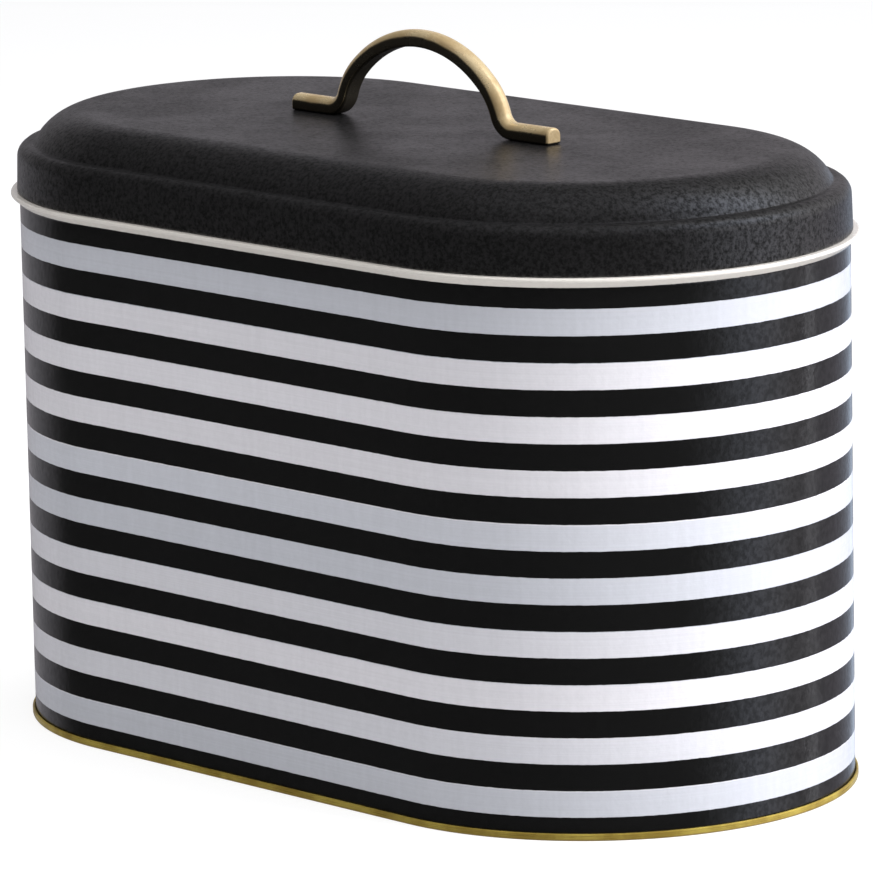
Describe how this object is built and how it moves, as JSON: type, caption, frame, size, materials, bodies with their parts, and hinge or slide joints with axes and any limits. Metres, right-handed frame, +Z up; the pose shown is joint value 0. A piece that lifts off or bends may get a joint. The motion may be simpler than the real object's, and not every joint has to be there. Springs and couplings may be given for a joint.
{
  "type": "bread bin",
  "caption": "Oval tinplate bread bin with printed horizontal stripes, a lift-off textured lid and a bow handle.",
  "frame": {"origin": "centre of the footprint, on the surface the bin stands on", "axes": "+X along the bin's length, +Z up, +Y towards the side with the lapped seam"},
  "size_m": [0.336, 0.181, 0.2468],
  "materials": {
    "striped_print": "gloss black and silvery white stripes printed on tinplate, cream edge",
    "gold_lacquer": "gold lacquered tinplate, satin",
    "black_texture_coat": "black wrinkle powder coat, semi-gloss",
    "antique_brass": "satin brushed antique brass",
    "zinc_steel": "bright zinc plate"
  },
  "bodies": {
    "bin": {"body_wall": "striped_print", "base_panel": "gold_lacquer"},
    "lid": {"lid_shell": "black_texture_coat", "handle": "antique_brass", "handle_screw_left": "zinc_steel", "handle_screw_right": "zinc_steel", "handle_washer_left": "zinc_steel", "handle_washer_right": "zinc_steel"}
  },
  "joints": [
    {"name": "lid_lift", "type": "slide", "parent": "bin", "child": "lid", "axis": [0, 0, 1], "range_m": [0, 0.25]}
  ]
}
